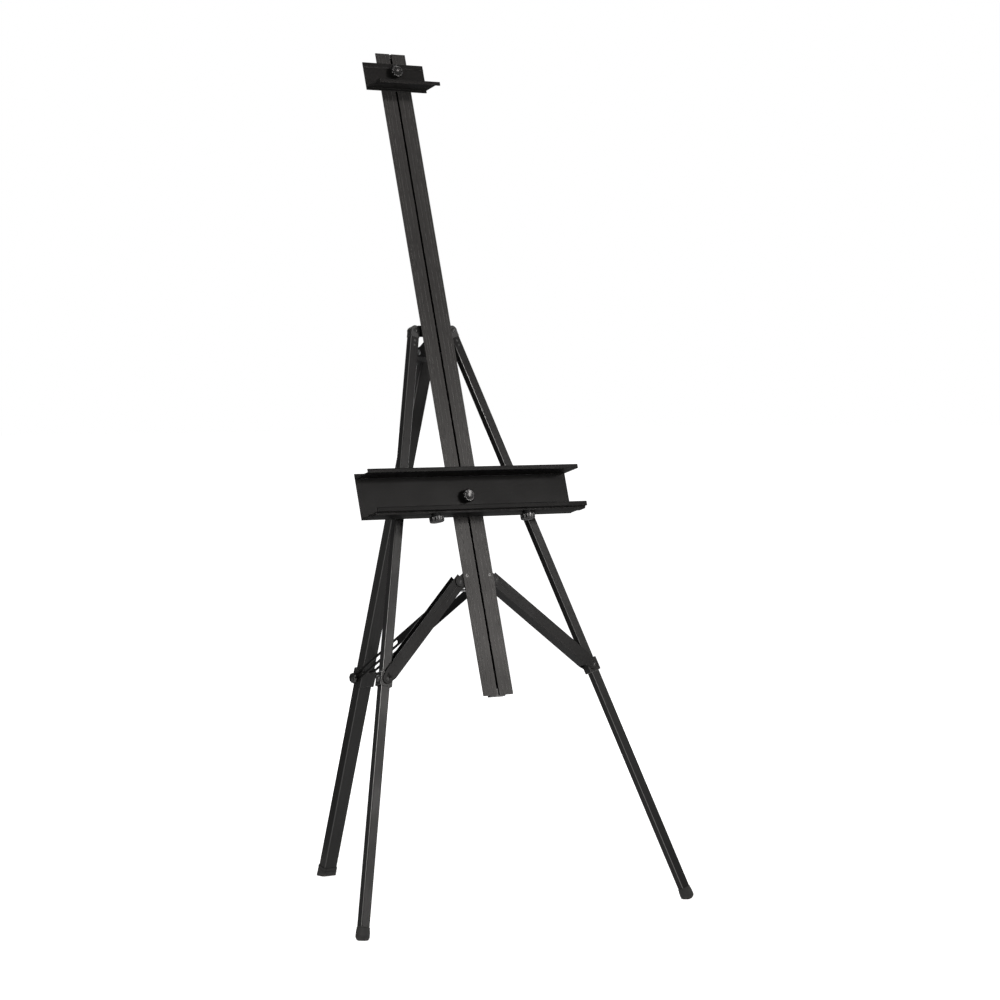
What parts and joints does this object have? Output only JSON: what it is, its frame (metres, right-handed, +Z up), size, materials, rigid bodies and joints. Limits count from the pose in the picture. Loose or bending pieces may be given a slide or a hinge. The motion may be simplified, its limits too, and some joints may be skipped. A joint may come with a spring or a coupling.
{
  "type": "tripod field easel",
  "caption": "Folding tripod easel: leaning slotted mast with sliding canvas tray and top holder, spread front legs and a rear leg with folding stays.",
  "frame": {"origin": "middle of the footprint on the floor", "axes": "+Z up, front of the easel towards -Y, +X to the right seen from the front"},
  "size_m": [0.8498, 0.747, 1.7532],
  "materials": {
    "mast_face": "dark grey satin anodised, fine lengthwise lines",
    "black_alu": "black satin anodised",
    "steel": "dull zinc plated",
    "dark_steel": "blackened",
    "knob_plastic": "glossy black moulding",
    "fitting_plastic": "satin black moulding",
    "rubber": "matt black"
  },
  "bodies": {
    "mast": {"mast_channel": "mast_face", "mast_top_plug": "fitting_plastic", "mast_bottom_plug": "fitting_plastic", "hub_strap": "black_alu", "hub_spacers": "steel", "hub_rivets": "steel", "rear_leg_bracket": "black_alu", "rear_bracket_rivets": "steel", "brace_ears": "black_alu", "ear_screws": "dark_steel", "stay_bracket": "black_alu", "stay_bracket_rivets": "steel", "leg_pivot_pins": "dark_steel", "rear_pivot_pin": "steel", "brace_pivot_pins": "dark_steel", "stay_pivot_pin": "steel"},
    "top_holder": {"holder_plate": "black_alu", "holder_bolt": "steel", "holder_washer": "steel"},
    "top_knob": {"holder_knob": "knob_plastic", "holder_knob_insert": "steel"},
    "tray": {"tray_extrusion": "black_alu", "tray_bolt": "steel", "tray_washer": "steel"},
    "tray_knob_body": {"tray_knob": "knob_plastic", "tray_knob_insert": "steel"},
    "ledge": {"ledge_lip": "black_alu", "ledge_clamp_rail": "black_alu", "ledge_bolts": "steel"},
    "ledge_left_knob": {"ledge_knob_left": "knob_plastic", "ledge_insert_left": "steel"},
    "ledge_right_knob": {"ledge_knob_right": "knob_plastic", "ledge_insert_right": "steel"},
    "left_leg": {"left_leg_tube": "black_alu", "left_leg_knuckle": "fitting_plastic", "left_knuckle_rivets": "dark_steel", "left_foot": "rubber"},
    "right_leg": {"right_leg_tube": "black_alu", "right_leg_knuckle": "fitting_plastic", "right_knuckle_rivets": "dark_steel", "right_foot": "rubber"},
    "left_brace_body": {"left_brace": "black_alu"},
    "right_brace_body": {"right_brace": "black_alu"},
    "left_slider_body": {"left_slider": "black_alu", "left_slider_rivet": "dark_steel", "left_lock_screw": "dark_steel"},
    "right_slider_body": {"right_slider": "black_alu", "right_slider_rivet": "dark_steel", "right_lock_screw": "dark_steel"},
    "rear_leg": {"rear_leg_tube": "black_alu", "rear_leg_knuckle": "fitting_plastic", "rear_knuckle_rivets": "dark_steel", "rear_foot": "rubber"},
    "rear_stay": {"stay_bars": "black_alu", "stay_spacer": "steel"},
    "rear_slider_body": {"rear_slider": "black_alu", "rear_slider_bolt": "steel"},
    "rear_lock": {"rear_lock_knob": "knob_plastic", "rear_lock_insert": "steel"}
  },
  "joints": [
    {"name": "holder_slide", "type": "slide", "parent": "mast", "child": "top_holder", "axis": [0, 0.2723, 0.9622], "range_m": [-0.42, 0.012]},
    {"name": "holder_knob_turn", "type": "hinge", "parent": "top_holder", "child": "top_knob", "pos_m": [0, 0.1022, 1.7138], "axis": [0, -0.9622, 0.2723], "range_deg": [0, 450]},
    {"name": "tray_slide", "type": "slide", "parent": "mast", "child": "tray", "axis": [0, 0.2723, 0.9622], "range_m": [-0.36, 0.38]},
    {"name": "tray_knob_turn", "type": "hinge", "parent": "tray", "child": "tray_knob_body", "pos_m": [0, -0.14585, 0.83722], "axis": [0, -0.9622, 0.2723], "range_deg": [0, 450]},
    {"name": "ledge_slide", "type": "slide", "parent": "tray", "child": "ledge", "axis": [0, 0.9622, -0.2723], "range_m": [0, 0.022]},
    {"name": "ledge_left_knob_turn", "type": "hinge", "parent": "ledge", "child": "ledge_left_knob", "pos_m": [-0.1157, -0.19832, 0.80659], "axis": [0, -0.2723, -0.9622], "range_deg": [0, 450]},
    {"name": "ledge_right_knob_turn", "type": "hinge", "parent": "ledge", "child": "ledge_right_knob", "pos_m": [0.1157, -0.19832, 0.80659], "axis": [0, -0.2723, -0.9622], "range_deg": [0, 450]},
    {"name": "left_leg_fold", "type": "hinge", "parent": "mast", "child": "left_leg", "pos_m": [-0.0474, -0.02957, 1.17377], "axis": [0, -0.9622, 0.2723], "range_deg": [0, 16.7]},
    {"name": "left_brace_fold", "type": "hinge", "parent": "mast", "child": "left_brace_body", "pos_m": [-0.046, -0.18532, 0.66704], "axis": [0, -0.9622, 0.2723], "range_deg": [0, 49.21]},
    {"name": "left_slider_tilt", "type": "hinge", "parent": "left_brace_body", "child": "left_slider_body", "pos_m": [-0.26269, -0.22493, 0.48338], "axis": [0, -0.9622, 0.2723], "range_deg": [-32.51, 0]},
    {"name": "right_leg_fold", "type": "hinge", "parent": "mast", "child": "right_leg", "pos_m": [0.0474, -0.02957, 1.17377], "axis": [0, 0.9622, -0.2723], "range_deg": [0, 16.7]},
    {"name": "right_brace_fold", "type": "hinge", "parent": "mast", "child": "right_brace_body", "pos_m": [0.046, -0.18532, 0.66704], "axis": [0, 0.9622, -0.2723], "range_deg": [0, 49.21]},
    {"name": "right_slider_tilt", "type": "hinge", "parent": "right_brace_body", "child": "right_slider_body", "pos_m": [0.26269, -0.22493, 0.48338], "axis": [0, 0.9622, -0.2723], "range_deg": [-32.51, 0]},
    {"name": "rear_leg_fold", "type": "hinge", "parent": "mast", "child": "rear_leg", "pos_m": [0, -0.00862, 1.13064], "axis": [-1, 0, 0], "range_deg": [0, 33.8]},
    {"name": "rear_stay_fold", "type": "hinge", "parent": "mast", "child": "rear_stay", "pos_m": [0, -0.16079, 0.66009], "axis": [-1, 0, 0], "range_deg": [0, 73.46]},
    {"name": "rear_slider_tilt", "type": "hinge", "parent": "rear_stay", "child": "rear_slider_body", "pos_m": [0, 0.21542, 0.44112], "axis": [-1, 0, 0], "range_deg": [-39.66, 0]},
    {"name": "rear_lock_turn", "type": "hinge", "parent": "rear_slider_body", "child": "rear_lock", "pos_m": [-0.0222, 0.21542, 0.44112], "axis": [-1, 0, 0], "range_deg": [0, 450]}
  ],
  "couplings": [
    {"joint": "left_brace_fold", "follows": "left_leg_fold", "ratio": 2.9455},
    {"joint": "left_slider_tilt", "follows": "left_leg_fold", "ratio": -1.9455},
    {"joint": "right_brace_fold", "follows": "right_leg_fold", "ratio": 2.9455},
    {"joint": "right_slider_tilt", "follows": "right_leg_fold", "ratio": -1.9455},
    {"joint": "rear_stay_fold", "follows": "rear_leg_fold", "ratio": 2.173},
    {"joint": "rear_slider_tilt", "follows": "rear_leg_fold", "ratio": -1.173}
  ]
}
